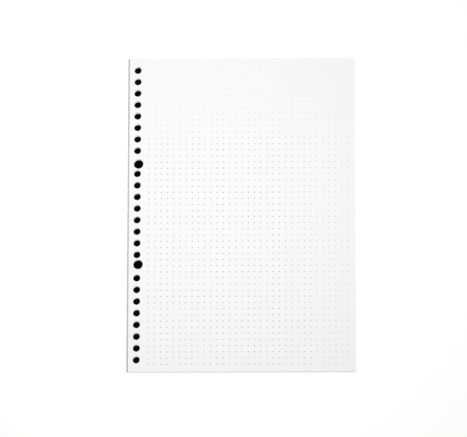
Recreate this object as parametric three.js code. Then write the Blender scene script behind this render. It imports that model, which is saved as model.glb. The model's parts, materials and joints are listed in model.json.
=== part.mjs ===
// Loose-leaf refill paper: a pack of B5 sheets with one row of ring holes down the binding edge.
// Millimetres, +Z up. The pack lies flat on Z = 0, centred on X and Y. The binding edge is at -X,
// and the top of the page is towards +Y.
import * as THREE from 'three';

// Sheet and pack
const SHEET_WIDTH = 182;
const SHEET_HEIGHT = 257;
const SHEET_THICKNESS = 0.09;
const SHEET_COUNT = 50;

// Row of ring holes, as many as fit between the end margins
const HOLE_PITCH = 9.5;
const HOLE_DIAMETER = 6;
const HOLE_LINE_FROM_EDGE = 6.5;
const END_MARGIN = 9.5;

// Two wider holes, which take the place of one row hole each. They are as far apart as the pins of
// a two-post file, give or take their clearance, and sit a little further in than the row.
const WIDE_HOLE_DIAMETER = 8;
const WIDE_HOLE_SPACING = 82.4;
const WIDE_HOLE_INSET = 0.95;
const SMALLEST_WEB = 0.4;

const HOLE_FACETS = 32;

const paper = new THREE.MeshStandardMaterial({ color: 0xf6f6f5, roughness: 0.85, metalness: 0 });
const paperBlock = new THREE.MeshStandardMaterial({ color: 0xf2f2f0, roughness: 0.9, metalness: 0 });

function wideHoles() {
  const x = -SHEET_WIDTH / 2 + HOLE_LINE_FROM_EDGE + WIDE_HOLE_INSET;
  const y = WIDE_HOLE_SPACING / 2;
  return [-y, y].map((place) => ({ x, y: place, diameter: WIDE_HOLE_DIAMETER }));
}

// The row is centred on the sheet's height and skips each place that a wide hole takes.
function rowHoles(wide) {
  const x = -SHEET_WIDTH / 2 + HOLE_LINE_FROM_EDGE;
  const pitches = Math.floor((SHEET_HEIGHT - 2 * END_MARGIN) / HOLE_PITCH);
  const reach = (HOLE_DIAMETER + WIDE_HOLE_DIAMETER) / 2 + SMALLEST_WEB;
  const holes = [];
  for (let i = 0; i <= pitches; i += 1) {
    const y = (i - pitches / 2) * HOLE_PITCH;
    if (wide.every((hole) => Math.abs(hole.y - y) > reach)) {
      holes.push({ x, y, diameter: HOLE_DIAMETER });
    }
  }
  return holes;
}

function holePath({ x, y, diameter }) {
  const rim = [];
  for (let i = 0; i < HOLE_FACETS; i += 1) {
    const angle = (i / HOLE_FACETS) * 2 * Math.PI;
    rim.push(new THREE.Vector2(x + (diameter / 2) * Math.cos(angle), y + (diameter / 2) * Math.sin(angle)));
  }
  return new THREE.Path(rim).closePath();
}

// One punched outline serves every sheet of the pack.
function punchedSheet() {
  const right = SHEET_WIDTH / 2;
  const top = SHEET_HEIGHT / 2;
  const outline = new THREE.Shape();
  outline.moveTo(-right, -top);
  outline.lineTo(right, -top);
  outline.lineTo(right, top);
  outline.lineTo(-right, top);
  outline.closePath();
  const wide = wideHoles();
  outline.holes = [...rowHoles(wide), ...wide].map(holePath);
  return outline;
}

// A number of sheets lying on each other, from the height of the lowest one's underside.
function sheets(name, count, bottom, material) {
  const geometry = new THREE.ExtrudeGeometry(punchedSheet(), {
    depth: count * SHEET_THICKNESS,
    bevelEnabled: false,
  });
  const mesh = new THREE.Mesh(geometry, material);
  mesh.name = name;
  mesh.position.z = bottom;
  return mesh;
}

const sheetsBelow = SHEET_COUNT - 1;
const refill = new THREE.Group();
refill.add(sheets('sheet_stack', sheetsBelow, 0, paperBlock));
refill.add(sheets('top_sheet', 1, sheetsBelow * SHEET_THICKNESS, paper));

export default refill;
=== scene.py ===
"""A pack of loose-leaf refill paper: fifty punched sheets, the top one printed with a dot grid.

The pack lies on its back. Lengths are in metres, +Y is up the page, and the ring holes run down
the -X edge.
"""

import json
import math

import bpy
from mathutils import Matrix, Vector
from mathutils.geometry import delaunay_2d_cdt


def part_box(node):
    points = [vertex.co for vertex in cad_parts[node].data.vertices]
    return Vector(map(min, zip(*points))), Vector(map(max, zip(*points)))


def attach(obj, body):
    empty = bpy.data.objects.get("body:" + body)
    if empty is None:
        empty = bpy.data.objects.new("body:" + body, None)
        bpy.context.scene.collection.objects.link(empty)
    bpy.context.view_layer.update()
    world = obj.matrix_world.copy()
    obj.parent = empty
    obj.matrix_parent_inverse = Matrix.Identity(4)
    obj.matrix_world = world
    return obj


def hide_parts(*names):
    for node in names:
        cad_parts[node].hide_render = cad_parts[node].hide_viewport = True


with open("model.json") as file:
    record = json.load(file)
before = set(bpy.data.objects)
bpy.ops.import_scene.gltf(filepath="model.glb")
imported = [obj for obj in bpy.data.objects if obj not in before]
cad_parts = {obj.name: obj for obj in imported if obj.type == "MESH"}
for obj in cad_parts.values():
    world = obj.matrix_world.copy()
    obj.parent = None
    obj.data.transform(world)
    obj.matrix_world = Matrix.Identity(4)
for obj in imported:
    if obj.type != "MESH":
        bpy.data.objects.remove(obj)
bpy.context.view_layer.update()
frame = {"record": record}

MM = 0.001

# Sheet and pack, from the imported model
STACK_LOW, STACK_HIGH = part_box("sheet_stack")
TOP_LOW, TOP_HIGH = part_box("top_sheet")
SHEET_THICKNESS = TOP_HIGH.z - TOP_LOW.z
HALF_WIDTH = TOP_HIGH.x
HALF_HEIGHT = TOP_HIGH.y

# Punched holes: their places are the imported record's openings
RING_HOLE_DIAMETER = 6 * MM
WIDE_HOLE_DIAMETER = 8 * MM
TOP_SHEET_FACETS = 48
LOWER_SHEET_FACETS = 32
POINTS_MEET = 1e-7

# The air between two sheets, and how far each one has slipped from its neighbours
AIR_GAP = 0.008 * MM
SHEET_SLIP = 0.05 * MM
STACK_DRIFT = 0.22 * MM
DRIFT_PER_SHEET = 0.17
SHEET_TURN = math.radians(0.012)
STACK_SEED = 7

# The top sheet's free corners lift a little: which corner, how far, and from how far in
CORNER_LIFTS = (
    (1, -1, 0.45 * MM, 52 * MM),
    (1, 1, 0.3 * MM, 40 * MM),
)
# Its head and foot curl up: which end, how far, and from how far in
END_CURLS = (
    (-1, 0.22 * MM, 6 * MM),
    (1, 0.15 * MM, 4 * MM),
)
# Points of the net that lets it bend: their spacing, and how many hole diameters they keep off a hole
BEND_SPACING = 6 * MM
CURL_SPACING = 0.75 * MM
NET_CLEARANCE = 0.6

# Dot grid print
DOT_SPACING = 5 * MM
DOT_COLUMNS = 33
DOT_ROWS = 50
DOT_GRID_CENTRE_X = 5 * MM
DOT_DIAMETER = 0.72 * MM
DOT_SIDES = 10
INK_HEIGHT = 0.012 * MM
SPECK_PLACE = (-67.7 * MM, -61.5 * MM)
SPECK_DIAMETER = 0.6 * MM

# Paper: linear colours, pattern scales per metre, and how much each pattern adds
PAPER_WHITE = (0.93, 0.93, 0.93)
PAPER_SHADE = (0.87, 0.87, 0.87)
EDGE_WHITE = (0.9, 0.9, 0.898)
CLOUD_SCALE = 70
FIBRE_SCALE = 1900
FIBRE_STRETCH = (1, 0.3, 1)
TOOTH_SCALE = 4200
SHADE_SHARE = 0.25
SHADE_CONTRAST = 1.3
CLOUDS_IN_SHADE = 0.3
TOOTH_IN_RELIEF = 0.4
RELIEF_STRENGTH = 0.35
RELIEF_HEIGHT = 0.03 * MM
PAPER_ROUGHNESS = 0.78
FIBRE_ROUGHNESS = 0.16
PAPER_IOR = 1.45

# Ink. Its strength fades over two stretches of the page: from, to, and the share that is left. The fade at
# the head is painted light, glare that washes the dots out; the fade at the right only makes the dots paler
# there.
INK_GREY = (0.05, 0.05, 0.052)
INK_UNEVENNESS = 0.2
INK_PATCH_SCALE = 700
INK_ROUGHNESS = 0.7
HEAD_PAINTED_GLARE = (40 * MM, 115 * MM, 0.05)
RIGHT_FADE = (25 * MM, 85 * MM, 0.62)

# Camera: fitted to the ring holes, the dot grid and the sheet's edges in a picture of 467 x 437 pixels
PICTURE_WIDTH = 467
FOCAL_LENGTH_PX = 3804.6
CAMERA_PLACE = (77.43 * MM, -607.41 * MM, 3000 * MM)
CAMERA_TURN = (0.19873, 0.02786, 0.00135)
CAMERA_REACH = 50
SENSOR_WIDTH_MM = 36

# Light: a wide lamp near the page that fades towards its foot, and a far one from the right, which
# stands a little towards the foot
TOP_LAMP_PLACE = (-40 * MM, 38 * MM, 350 * MM)
TOP_LAMP_AIM = (-30 * MM, 30 * MM, 0)
TOP_LAMP_SIZE = 300 * MM
TOP_LAMP_POWER = 0.49
SIDE_LAMP_FROM = (0.35, -0.2, 1)
SIDE_LAMP_STRENGTH = 1.98
SIDE_LAMP_SPREAD = math.radians(10)
WORLD_LIGHT = 0.13

# Floor: a pale table that glows a little more away from the pack, where the lamp doesn't reach.
# It is dark under the pack, to a little inside the edges, so that the ring holes read black.
FLOOR_SIZE = 6
FLOOR_DROP = 0.05 * MM
FLOOR_GLOW_NEAR = (0.15, 0.15, 0.15)
FLOOR_GLOW_FAR = (0.32, 0.32, 0.32)
GLOW_RISE = (0.25, 0.9)
FLOOR_WHITE = (0.85, 0.85, 0.85, 1)
FLOOR_SEEN = (0.95, 0.95, 0.95, 1)
DARK_INSET = 2 * MM
DARK_FLOOR = (0.002, 0.002, 0.002, 1)


class Value:
    """A node socket that takes part in Python arithmetic. Each operation adds its Math node."""

    def __init__(self, graph, socket):
        self.graph = graph
        self.socket = socket

    def math(self, operation, *values):
        return self.graph.node("ShaderNodeMath", {"operation": operation}, dict(enumerate(values)))

    def __add__(self, other):
        return self.math("ADD", self, other)

    __radd__ = __add__

    def __sub__(self, other):
        return self.math("SUBTRACT", self, other)

    def __rsub__(self, other):
        return self.math("SUBTRACT", other, self)

    def __mul__(self, other):
        return self.math("MULTIPLY", self, other)

    __rmul__ = __mul__

    def __lt__(self, other):
        return self.math("LESS_THAN", self, other)

    def size(self):
        return self.math("ABSOLUTE", self)

    def larger(self, other):
        return self.math("MAXIMUM", self, other)


class Graph:
    """A material's, world's or geometry tree, built one node at a time."""

    def __init__(self, tree):
        self.tree = tree

    def node(self, kind, settings=None, sockets=None, output=0):
        made = self.tree.nodes.new(kind)
        for name, value in (settings or {}).items():
            setattr(made, name, value)
        for key, value in (sockets or {}).items():
            if isinstance(value, Value):
                self.tree.links.new(value.socket, made.inputs[key])
            else:
                made.inputs[key].default_value = value
        return Value(self, made.outputs[output]) if len(made.outputs) else made

    def also(self, value, output):
        """Another output of the node that a value came from."""
        return Value(self, value.socket.node.outputs[output])

    def mix_colour(self, share, first, second):
        sockets = {0: share, 6: (*first, 1) if isinstance(first, tuple) else first}
        sockets[7] = (*second, 1) if isinstance(second, tuple) else second
        return self.node("ShaderNodeMix", {"data_type": "RGBA"}, sockets, output=2)

    def noise(self, place, scale, detail=3):
        return self.node("ShaderNodeTexNoise", None, {"Vector": place, "Scale": scale, "Detail": detail})


def new_material(name):
    material = bpy.data.materials.new(name)
    material.use_nodes = True
    material.node_tree.nodes.clear()
    return material, Graph(material.node_tree)


def object_place(graph):
    return graph.node("ShaderNodeTexCoord", output="Object")


def axis_of(graph, place, axis):
    return graph.node("ShaderNodeSeparateXYZ", None, {0: place}, output=axis)


def principled(graph, sockets):
    shader = graph.node("ShaderNodeBsdfPrincipled", None, sockets)
    graph.node("ShaderNodeOutputMaterial", None, {"Surface": shader})


def paper_finish(name, white, shade):
    """Uncoated writing paper: cloudy formation, short fibres along the page and a fine tooth."""
    material, graph = new_material(name)
    place = object_place(graph)
    along_page = graph.node("ShaderNodeMapping", None, {"Vector": place, "Scale": FIBRE_STRETCH})
    clouds = graph.noise(place, CLOUD_SCALE, 3)
    fibres = graph.noise(along_page, FIBRE_SCALE, 4)
    tooth = graph.noise(place, TOOTH_SCALE, 2)
    pattern = CLOUDS_IN_SHADE * clouds + (1 - CLOUDS_IN_SHADE) * fibres
    colour = graph.mix_colour(SHADE_SHARE + SHADE_CONTRAST * (pattern - 0.5), white, shade)
    height = (1 - TOOTH_IN_RELIEF) * fibres + TOOTH_IN_RELIEF * tooth
    relief = {"Strength": RELIEF_STRENGTH, "Distance": RELIEF_HEIGHT, "Height": height}
    bump = graph.node("ShaderNodeBump", None, relief)
    roughness = PAPER_ROUGHNESS + FIBRE_ROUGHNESS * fibres
    principled(graph, {"Base Color": colour, "Roughness": roughness, "Normal": bump, "IOR": PAPER_IOR})
    return material


def fade(graph, along, stretch):
    """1 before the stretch, falling smoothly to the share that is left after it."""
    start, end, share = stretch
    limits = {0: along, 1: start, 2: end, 3: 1.0, 4: share}
    return graph.node("ShaderNodeMapRange", {"interpolation_type": "SMOOTHSTEP"}, limits)


def ink_finish():
    """Grey printing ink, paler towards the right edge of the page, and washed out towards its head by
    painted glare.
    """
    material, graph = new_material("dot_ink")
    place = object_place(graph)
    across = axis_of(graph, place, 0)
    along = axis_of(graph, place, 1)
    # Painted light: the head fade is glare washing the dots out; the right fade only pales them towards
    # that edge.
    strength = fade(graph, along, HEAD_PAINTED_GLARE) * fade(graph, across, RIGHT_FADE)
    patches = 1 - INK_UNEVENNESS / 2 + INK_UNEVENNESS * graph.noise(place, INK_PATCH_SCALE, 2)
    colour = graph.mix_colour(strength * patches, PAPER_WHITE, INK_GREY)
    principled(graph, {"Base Color": colour, "Roughness": INK_ROUGHNESS})
    return material


def floor_finish():
    """A table top that the camera sees as white, with the pack's soft shadow on it."""
    material, graph = new_material("pale_floor")
    place = object_place(graph)
    across = axis_of(graph, place, 0).size() < HALF_WIDTH - DARK_INSET
    along = axis_of(graph, place, 1).size() < HALF_HEIGHT - DARK_INSET
    plain = graph.node("ShaderNodeBsdfDiffuse", None, {"Color": FLOOR_WHITE})
    shadowed = graph.node("ShaderNodeBsdfDiffuse", None, {"Color": FLOOR_SEEN})
    distance = graph.node("ShaderNodeVectorMath", {"operation": "LENGTH"}, {0: place}, output="Value")
    away = graph.node("ShaderNodeMapRange", None, {0: distance, 1: GLOW_RISE[0], 2: GLOW_RISE[1]})
    glow_colour = graph.mix_colour(away, FLOOR_GLOW_NEAR, FLOOR_GLOW_FAR)
    glow = graph.node("ShaderNodeEmission", None, {"Color": glow_colour, "Strength": 1.0})
    shown = graph.node("ShaderNodeAddShader", None, {0: shadowed, 1: glow})
    table = graph.node("ShaderNodeMixShader", None, {0: seen_directly(graph), 1: plain, 2: shown})
    dark = graph.node("ShaderNodeBsdfDiffuse", None, {"Color": DARK_FLOOR})
    surface = graph.node("ShaderNodeMixShader", None, {0: across * along, 1: table, 2: dark})
    graph.node("ShaderNodeOutputMaterial", None, {"Surface": surface})
    return material


def seen_directly(graph):
    """1 for the rays that show the background itself: the camera's, and those in gloss and glass."""
    camera = graph.node("ShaderNodeLightPath", output="Is Camera Ray")
    glossy = graph.also(camera, "Is Glossy Ray")
    clear = graph.also(camera, "Is Transmission Ray")
    return camera.larger(glossy).larger(clear)


def new_object(name, mesh):
    made = bpy.data.objects.new(name, mesh)
    bpy.context.scene.collection.objects.link(made)
    return made


def as_plain_mesh(obj):
    """Freezes an object's modifiers into its mesh."""
    graph = bpy.context.evaluated_depsgraph_get()
    mesh = bpy.data.meshes.new_from_object(obj.evaluated_get(graph))
    obj.modifiers.clear()
    obj.data = mesh
    return obj


def punched_holes():
    """(x, y, diameter) of each hole, where the record has an opening."""
    holes = []
    for opening in frame["record"]["physics"]["openings"]:
        low, high = (Vector(corner) for corner in opening["box_m"])
        middle = (low + high) / 2
        wide = opening["name"].startswith("wide")
        holes.append((middle.x, middle.y, WIDE_HOLE_DIAMETER if wide else RING_HOLE_DIAMETER))
    return holes


def punched_face(facets, bends=False):
    """One flat sheet as triangles, with its holes cut. One that bends gets a net of points inside."""
    sides = [(-1, -1), (1, -1), (1, 1), (-1, 1)]
    loops = [[(HALF_WIDTH * side, HALF_HEIGHT * end) for side, end in sides]]
    holes = punched_holes()
    angles = [2 * math.pi * i / facets for i in range(facets)]
    for x, y, diameter in holes:
        radius = diameter / 2
        loops.append([(x + radius * math.cos(angle), y + radius * math.sin(angle)) for angle in angles])
    points = []
    edges = []
    for loop in loops:
        first = len(points)
        points += loop
        edges += [(first + i, first + (i + 1) % len(loop)) for i in range(len(loop))]
    if bends:
        points += net_points(holes)
    flat = [Vector(point) for point in points]
    corners, _, triangles, *_ = delaunay_2d_cdt(flat, edges, [], 0, POINTS_MEET)
    kept = []
    for triangle in triangles:
        middle = sum((corners[i] for i in triangle), Vector((0, 0))) / 3
        if not in_a_hole(middle, holes):
            kept.append(triangle)
    mesh = bpy.data.meshes.new("punched_face")
    mesh.from_pydata([(corner.x, corner.y, 0) for corner in corners], [], kept)
    mesh.update()
    return mesh


def net_rows():
    """Heights of the net's rows: close together in the curled ends and wider between them."""
    rows = set()
    for end, _, reach in END_CURLS:
        steps = round(reach / CURL_SPACING)
        rows |= {end * (HALF_HEIGHT - reach * i / steps) for i in range(steps)}
    inner = HALF_HEIGHT - max(reach for _, _, reach in END_CURLS)
    steps = round(2 * inner / BEND_SPACING)
    rows |= {inner * (2 * i / steps - 1) for i in range(steps + 1)}
    return sorted(rows)


def net_points(holes):
    """A net over the sheet and along its edges, clear of the holes."""
    columns = round(2 * HALF_WIDTH / BEND_SPACING)
    points = []
    for y in net_rows():
        for i in range(columns + 1):
            x = HALF_WIDTH * (2 * i / columns - 1)
            on_corner = i in (0, columns) and abs(y) == HALF_HEIGHT
            clear = all(math.hypot(x - hx, y - hy) > NET_CLEARANCE * width for hx, hy, width in holes)
            if clear and not on_corner:
                points.append((x, y))
    return points


def in_a_hole(point, holes):
    return any(math.hypot(point.x - x, point.y - y) < diameter / 2 for x, y, diameter in holes)


def top_sheet_lift(x, y):
    """How far the top sheet stands off the stack at a place on the page."""
    lift = 0
    for side, end, height, reach in CORNER_LIFTS:
        inwards = ((HALF_WIDTH - side * x) + (HALF_HEIGHT - end * y)) / math.sqrt(2)
        lift += height * max(0, 1 - inwards / reach) ** 2
    for end, height, reach in END_CURLS:
        lift += height * max(0, 1 - (HALF_HEIGHT - end * y) / reach) ** 2
    return lift


def follow_top_sheet(mesh):
    for vertex in mesh.vertices:
        vertex.co.z += top_sheet_lift(vertex.co.x, vertex.co.y)


def give_thickness(obj, thickness):
    """The sheet keeps its face's place as its top and grows downwards."""
    solid = obj.modifiers.new("thickness", "SOLIDIFY")
    solid.thickness = thickness
    solid.offset = -1
    return as_plain_mesh(obj)


def geometry_tree(name, sizes):
    """An empty Geometry Nodes tree with a named input for each size, and its sockets by name."""
    tree = bpy.data.node_groups.new(name, "GeometryNodeTree")
    tree.interface.new_socket("Geometry", in_out="INPUT", socket_type="NodeSocketGeometry")
    tree.interface.new_socket("Geometry", in_out="OUTPUT", socket_type="NodeSocketGeometry")
    for label, kind in sizes:
        tree.interface.new_socket(label, in_out="INPUT", socket_type=kind)
    graph = Graph(tree)
    entry = tree.nodes.new("NodeGroupInput")
    return graph, {socket.name: Value(graph, socket) for socket in entry.outputs if socket.name}


def finish_tree(graph, shape, material):
    """Every tree ends by realizing its instances and setting their material."""
    real = graph.node("GeometryNodeRealizeInstances", None, {0: shape})
    shaded = graph.node("GeometryNodeSetMaterial", None, {"Geometry": real, "Material": material})
    graph.node("NodeGroupOutput", None, {0: shaded})


def run_tree(obj, graph, values):
    """Sets the tree's inputs by their identifiers and freezes the result."""
    modifier = obj.modifiers.new(graph.tree.name, "NODES")
    modifier.node_group = graph.tree
    for item in graph.tree.interface.items_tree:
        if item.in_out == "INPUT" and item.name in values:
            modifier[item.identifier] = values[item.name]
    return as_plain_mesh(obj)


def vector_of(graph, x, y, z):
    return graph.node("ShaderNodeCombineXYZ", None, {0: x, 1: y, 2: z})


def slips(graph, size):
    """How far each sheet has slipped: a wander up through the stack, and a little of its own."""
    own = graph.node(
        "FunctionNodeRandomValue",
        {"data_type": "FLOAT_VECTOR"},
        {0: (-1, -1, 0), 1: (1, 1, 0), "Seed": size["Seed"]},
    )
    sheet_number = graph.node("GeometryNodeInputIndex")
    wander = graph.node(
        "ShaderNodeTexNoise",
        {"noise_dimensions": "1D"},
        {"W": sheet_number * DRIFT_PER_SHEET, "Scale": 1, "Detail": 1},
        output="Color",
    )
    centred = graph.node("ShaderNodeVectorMath", {"operation": "SUBTRACT"}, {0: wander, 1: (0.5, 0.5, 0.5)})
    level = graph.node("ShaderNodeVectorMath", {"operation": "MULTIPLY"}, {0: centred, 1: (2, 2, 0)})
    drift = graph.node("ShaderNodeVectorMath", {"operation": "SCALE"}, {0: level, "Scale": size["Drift"]})
    slip = graph.node("ShaderNodeVectorMath", {"operation": "SCALE"}, {0: own, "Scale": size["Slip"]})
    return graph.node("ShaderNodeVectorMath", {"operation": "ADD"}, {0: drift, 1: slip})


def stacked_sheets(paper):
    """The sheets under the top one, each a little off its neighbours."""
    stack = new_object("sheet_stack_paper", punched_face(LOWER_SHEET_FACETS))
    count = round((STACK_HIGH.z - STACK_LOW.z) / SHEET_THICKNESS)
    give_thickness(stack, SHEET_THICKNESS - AIR_GAP)
    sizes = [
        ("Sheets", "NodeSocketInt"),
        ("Pitch", "NodeSocketFloat"),
        ("Slip", "NodeSocketFloat"),
        ("Drift", "NodeSocketFloat"),
        ("Turn", "NodeSocketFloat"),
        ("Seed", "NodeSocketInt"),
    ]
    graph, size = geometry_tree("loose_sheets", sizes)
    step = vector_of(graph, 0.0, 0.0, size["Pitch"])
    line = graph.node("GeometryNodeMeshLine", None, {"Count": size["Sheets"], "Offset": step})
    places = graph.node("GeometryNodeSetPosition", None, {"Geometry": line, "Offset": slips(graph, size)})
    turn = graph.node(
        "FunctionNodeRandomValue",
        {"data_type": "FLOAT"},
        {2: -1.0, 3: 1.0, "Seed": size["Seed"] + 1},
        output=1,
    )
    rotation = vector_of(graph, 0.0, 0.0, turn * size["Turn"])
    sheets = graph.node(
        "GeometryNodeInstanceOnPoints",
        None,
        {"Points": places, "Instance": size["Geometry"], "Rotation": rotation},
    )
    finish_tree(graph, sheets, paper)
    values = {
        "Sheets": count,
        "Pitch": SHEET_THICKNESS,
        "Slip": SHEET_SLIP,
        "Drift": STACK_DRIFT,
        "Turn": SHEET_TURN,
        "Seed": STACK_SEED,
    }
    run_tree(stack, graph, values)
    lowest = min(vertex.co.z for vertex in stack.data.vertices)
    for vertex in stack.data.vertices:
        vertex.co.z += STACK_LOW.z - lowest
    return stack


def top_sheet(paper):
    sheet = new_object("top_sheet_paper", punched_face(TOP_SHEET_FACETS, bends=True))
    for vertex in sheet.data.vertices:
        vertex.co.z = TOP_HIGH.z
    follow_top_sheet(sheet.data)
    give_thickness(sheet, SHEET_THICKNESS)
    sheet.data.materials.clear()
    sheet.data.materials.append(paper)
    return sheet


def dot_print(ink):
    """The dot grid and one stray speck of ink, each dot a film with a little height."""
    dots = new_object("dot_grid_print", bpy.data.meshes.new("dot_grid_print"))
    sizes = [
        ("Columns", "NodeSocketInt"),
        ("Rows", "NodeSocketInt"),
        ("Width", "NodeSocketFloat"),
        ("Height", "NodeSocketFloat"),
        ("Dot Radius", "NodeSocketFloat"),
        ("Speck Radius", "NodeSocketFloat"),
        ("Film", "NodeSocketFloat"),
        ("Sides", "NodeSocketInt"),
        ("Grid Centre", "NodeSocketVector"),
        ("Speck Place", "NodeSocketVector"),
    ]
    graph, size = geometry_tree("dot_grid", sizes)
    reach = {"Size X": size["Width"], "Size Y": size["Height"]}
    number = {"Vertices X": size["Columns"], "Vertices Y": size["Rows"]}
    grid = graph.node("GeometryNodeMeshGrid", None, {**reach, **number})
    centre = size["Grid Centre"]
    placed = graph.node("GeometryNodeTransform", None, {"Geometry": grid, "Translation": centre})
    dot = film_disc(graph, size["Sides"], size["Dot Radius"], size["Film"])
    printed = graph.node("GeometryNodeInstanceOnPoints", None, {"Points": placed, "Instance": dot})
    speck = film_disc(graph, size["Sides"], size["Speck Radius"], size["Film"])
    place = size["Speck Place"]
    stray = graph.node("GeometryNodeTransform", None, {"Geometry": speck, "Translation": place})
    both = graph.node("GeometryNodeJoinGeometry", None, {0: printed})
    graph.tree.links.new(stray.socket, both.socket.node.inputs[0])
    finish_tree(graph, both, ink)
    values = {
        "Columns": DOT_COLUMNS,
        "Rows": DOT_ROWS,
        "Width": (DOT_COLUMNS - 1) * DOT_SPACING,
        "Height": (DOT_ROWS - 1) * DOT_SPACING,
        "Dot Radius": DOT_DIAMETER / 2,
        "Speck Radius": SPECK_DIAMETER / 2,
        "Film": INK_HEIGHT,
        "Sides": DOT_SIDES,
        "Grid Centre": (DOT_GRID_CENTRE_X, 0, TOP_HIGH.z),
        "Speck Place": (*SPECK_PLACE, TOP_HIGH.z),
    }
    run_tree(dots, graph, values)
    follow_top_sheet(dots.data)
    return dots


def film_disc(graph, sides, radius, film):
    """A dot of ink: half of its height is in the paper and half above it."""
    return graph.node(
        "GeometryNodeMeshCylinder",
        {"fill_type": "NGON"},
        {"Vertices": sides, "Radius": radius, "Depth": film},
    )


def pale_floor():
    half = FLOOR_SIZE / 2
    corners = [(x, y, -FLOOR_DROP) for x, y in ((-half, -half), (half, -half), (half, half), (-half, half))]
    mesh = bpy.data.meshes.new("floor")
    mesh.from_pydata(corners, [], [(0, 1, 2, 3)])
    mesh.materials.append(floor_finish())
    new_object("floor", mesh)


def photo_camera():
    data = bpy.data.cameras.new("photo_camera")
    data.sensor_fit = "HORIZONTAL"
    data.sensor_width = SENSOR_WIDTH_MM
    data.lens = FOCAL_LENGTH_PX * SENSOR_WIDTH_MM / PICTURE_WIDTH
    data.clip_end = CAMERA_REACH
    camera = new_object("photo_camera", data)
    camera.location = CAMERA_PLACE
    camera.rotation_euler = CAMERA_TURN
    bpy.context.scene.camera = camera


def top_lamp():
    """A wide soft lamp over the head of the page, so that the light falls off towards its foot."""
    data = bpy.data.lights.new("top_lamp", "AREA")
    data.size = TOP_LAMP_SIZE
    data.energy = TOP_LAMP_POWER
    lamp = new_object("top_lamp", data)
    lamp.location = TOP_LAMP_PLACE
    downwards = Vector(TOP_LAMP_AIM) - Vector(TOP_LAMP_PLACE)
    lamp.rotation_euler = downwards.to_track_quat("-Z", "Y").to_euler()


def side_lamp():
    """A far lamp from the right and a little from the foot.

    It lights the hole walls on the left and the cut edges at the foot, and shades the floor at the left.
    """
    data = bpy.data.lights.new("side_lamp", "SUN")
    data.energy = SIDE_LAMP_STRENGTH
    data.angle = SIDE_LAMP_SPREAD
    lamp = new_object("side_lamp", data)
    lamp.rotation_euler = Vector(SIDE_LAMP_FROM).to_track_quat("Z", "Y").to_euler()


def white_surroundings():
    world = bpy.data.worlds.new("studio")
    world.use_nodes = True
    world.node_tree.nodes.clear()
    graph = Graph(world.node_tree)
    seen = seen_directly(graph)
    strength = seen + (1 - seen) * WORLD_LIGHT
    background = graph.node("ShaderNodeBackground", None, {"Color": (1, 1, 1, 1), "Strength": strength})
    graph.node("ShaderNodeOutputWorld", None, {"Surface": background})
    bpy.context.scene.world = world


photo_camera()
paper = paper_finish("writing_paper", PAPER_WHITE, PAPER_SHADE)
stack_paper = paper_finish("stack_paper", EDGE_WHITE, PAPER_SHADE)

stack = stacked_sheets(stack_paper)
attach(stack, "root")
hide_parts("sheet_stack")

sheet = top_sheet(paper)
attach(sheet, "root")
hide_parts("top_sheet")

dots = dot_print(ink_finish())
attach(dots, "root")

pale_floor()
top_lamp()
side_lamp()
white_surroundings()
bpy.context.scene.view_settings.view_transform = "Standard"
